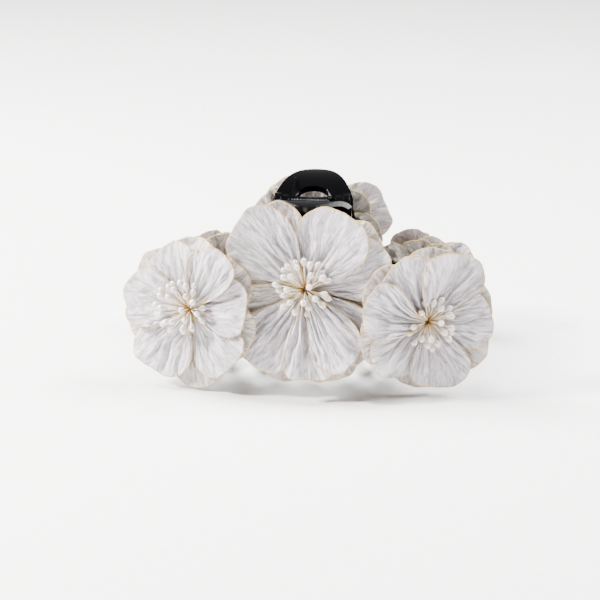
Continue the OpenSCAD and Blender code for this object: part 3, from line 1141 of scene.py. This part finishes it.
FLOWERS = (
    FlowerPlan("front_centre", Side.FRONT, -3, 15, (
        (P(0, 28, 21), P(85, 25, 20), P(172, 28, 21, L), P(250, 33, 23)),
        (P(38, 31, 22), P(121, 31.5, 22), P(208, 27, 20, L), P(290, 33, 22)),
        (P(20, 31, 22), P(235, 32, 22, L), P(316, 31, 21, L)),
        (P(63, 29.5, 26, F), P(278, 32.5, 21, L)),
        (P(135, 33, 25), P(303, 30, 18, L)),
    ), seed=2, sway=(-0.08, 0.12)),
    FlowerPlan("front_left", Side.FRONT, -20, 13, (
        (P(43, 26, 20), P(145, 26, 21), P(282, 28, 21)),
        (P(95, 25.5, 21), P(196, 26, 20), P(345, 26, 20)),
        (P(118, 24, 20), P(315, 26, 22)),
        (P(240, 27, 23), P(13, 23, 21, R)),
        (P(64, 25, 18, F), P(173, 25, 21)),
    ), seed=1, sway=(-0.3, 0.05)),
    FlowerPlan("front_right", Side.FRONT, 6, 13, (
        (P(20, 24, 21), P(135, 26, 21), P(255, 24.5, 22)),
        (P(88, 26, 21), P(195, 24, 20), P(318, 24, 21)),
        (P(0, 22.5, 20), P(222, 23, 20, F)),
        (P(110, 25.5, 20, L), P(285, 24.5, 22, R)),
        (P(62, 27, 22), P(158, 24, 20, L)),
    ), seed=3),
    FlowerPlan("rear_centre", Side.REAR, 3, 14, (
        (P(0, 24, 19), P(80, 24, 19), P(172, 24, 19), P(250, 33, 23)),
        (P(38, 27, 20), P(125, 25.5, 21), P(208, 24, 18), P(290, 32, 21)),
        (P(26, 26, 20), P(235, 30, 20, L), P(316, 29, 20)),
        (P(60, 26.5, 24), P(278, 31, 21)),
        (P(152, 29, 25, C), P(303, 28, 18, L)),
    ), seed=5),
    FlowerPlan("rear_left", Side.REAR, -20, 13, (
        (P(43, 18, 17), P(145, 20, 17), P(285, 21, 19)),
        (P(95, 16, 16), P(200, 21, 18), P(343, 21, 18)),
        (P(118, 16, 16), P(315, 21.5, 19)),
        (P(240, 21.5, 20, C), P(13, 20, 18)),
        (P(64, 16, 16, F), P(173, 21, 18)),
    ), seed=4),
    FlowerPlan("rear_right", Side.REAR, 20, 13, (
        (P(20, 20, 18), P(135, 18, 17), P(255, 21.5, 19)),
        (P(88, 16, 16), P(195, 22, 18), P(318, 21.5, 19)),
        (P(0, 20, 18), P(222, 21.5, 19, F)),
        (P(110, 16, 16, L), P(285, 21.5, 20)),
        (P(62, 19, 17), P(158, 20, 18)),
    ), seed=6),
)


# ---------------------------------------------------------------- the claw


@dataclass
class Spring:
    """The torsion spring: one length of wire, wound close on the pin, with a leg along each grip."""

    wire_radius: float = 0.5
    mean_radius: float = 2.6
    turns: int = 14
    steps: int = 28
    sides: int = 12

    def path(self) -> np.ndarray:
        """Centre line of the wire, from the rear grip round the pin to the front grip."""
        low, high = (np.array(corner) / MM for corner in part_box("torsion_spring"))
        end_x = high[0] - self.wire_radius
        reach, top = high[1] - self.wire_radius, high[2] - self.wire_radius - HINGE[2]
        lean = math.atan2(top, reach) - math.asin(self.mean_radius / math.hypot(top, reach))
        t = np.linspace(0, 1, self.turns * self.steps)
        angle = -lean + 2 * math.pi * self.turns + t * (2 * lean - 2 * math.pi * self.turns)
        coil = np.stack(
            [end_x * (2 * t - 1), np.sin(angle) * self.mean_radius, np.cos(angle) * self.mean_radius], -1
        )
        along = np.linspace(0, 1, 12)[1:, None]
        front = coil[-1] * (1 - along) + np.array([end_x, -reach, top]) * along
        rear = coil[0] * (1 - along) + np.array([-end_x, reach, top]) * along
        return np.vstack([rear[::-1], coil, front]) + HINGE

    def build(self, material: bpy.types.Material) -> bpy.types.Object:
        """Makes the spring on the pin.

        Args:
            material: its finish.

        Returns:
            The spring.
        """
        path = self.path()
        radii = np.full(len(path), self.wire_radius - 0.02)
        points, faces = sweep(path, radii, self.sides)
        piece = make_piece("wound_spring", points, faces, material)
        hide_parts("torsion_spring")
        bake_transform(piece)
        LOG.info("spring: %d turns", self.turns)
        return piece


class Claw:
    """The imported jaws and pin, dressed, with the spring on them."""

    def dress(self, node_name: str, material: bpy.types.Material) -> None:
        """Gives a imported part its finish."""
        node = frame["nodes"][node_name]
        for part in node.material_slots:
            part.material = material
        if not node.material_slots:
            node.data.materials.append(material)
        LOG.info("%s: dressed in %s", node_name, material.name)

    def build(self, finishes: Finishes) -> None:
        """Dresses the claw and makes its spring."""
        for name in ("front_jaw", "rear_jaw"):
            self.dress(name, finishes.plastic)
        self.dress("hinge_pin", finishes.pin)
        Spring().build(finishes.spring)


# ---------------------------------------------------------------- studio


@dataclass
class Studio:
    """A white paper floor, soft lights and the camera."""

    azimuth: float = 4.0
    elevation: float = 16.0
    distance: float = 650.0
    aim: tuple[float, float] = (-4.4, -34.5)  # how far right of and above the hinge it aims
    lens: float = 107.4

    def directions(self) -> tuple[np.ndarray, np.ndarray, np.ndarray]:
        """Unit vectors to the camera, to its right and up."""
        a, e = math.radians(self.azimuth), math.radians(self.elevation)
        out = np.array([math.sin(a) * math.cos(e), -math.cos(a) * math.cos(e), math.sin(e)])
        right = np.array([math.cos(a), math.sin(a), 0.0])
        return out, right, np.cross(out, right)

    def look(self, thing: bpy.types.Object, place: np.ndarray, target: np.ndarray) -> None:
        """Puts a camera or lamp at a place and turns it to a target, both in millimetres."""
        thing.location = Vector(place * MM)
        thing.rotation_euler = Vector((target - place) * MM).to_track_quat("-Z", "Y").to_euler()

    def camera(self) -> None:
        """Makes the camera that the picture is taken with."""
        out, right, up = self.directions()
        data = bpy.data.cameras.new("camera")
        data.lens = self.lens
        data.clip_start = 0.01
        thing = bpy.data.objects.new("camera", data)
        bpy.context.collection.objects.link(thing)
        target = HINGE + right * self.aim[0] + up * self.aim[1]
        self.look(thing, HINGE + out * self.distance, target)
        bpy.context.scene.camera = thing

    def lamp(
        self, name: str, place: tuple[float, float, float], size: float, watts: float, colour: str
    ) -> None:
        """Adds one soft box aimed at the clip."""
        data = bpy.data.lights.new(name, "AREA")
        data.shape = "DISK"
        data.size = size * MM
        data.energy = watts
        data.color = linear(colour)[:3]
        thing = bpy.data.objects.new(name, data)
        bpy.context.collection.objects.link(thing)
        self.look(thing, np.array(place, float), np.array([0.0, 0.0, 30.0]))

    def build(self) -> None:
        """Sets up the floor, the lights, the surroundings and the camera."""
        paper = StudioPaper().build()
        half = 6000.0
        corners = np.array([[-half, -half, 0], [half, -half, 0], [half, half, 0], [-half, half, 0]])
        floor = make_piece("floor", corners, [(0, 1, 2, 3)], paper)
        self.lamp("key", (-680, -170, 560), 150, 30.0, "FFFCF6")
        self.lamp("left_box", (-560, 200, 760), 480, 38.0, "FFFFFF")
        self.lamp("right_box", (600, 160, 740), 480, 30.0, "FFFFFF")
        world = bpy.data.worlds.new("studio")
        world.use_nodes = True
        world.node_tree.nodes.clear()
        sky = add_node(world.node_tree, "ShaderNodeBackground", {"Color": linear("F7F7F8"), "Strength": 0.28})
        add_node(world.node_tree, "ShaderNodeOutputWorld", links={"Surface": sky.outputs["Background"]})
        bpy.context.scene.world = world
        self.camera()


def main() -> None:
    """Builds the clip and its studio, and reports each piece."""
    logging.basicConfig(level=logging.INFO, format="%(name)s: %(message)s")
    Studio().build()
    finishes = Finishes()
    Claw().build(finishes)
    reliefs = {side: Relief(side) for side in Side}
    for plan in FLOWERS:
        Flower(plan).build(reliefs[plan.side], finishes)


if __name__ == "__main__":
    main()
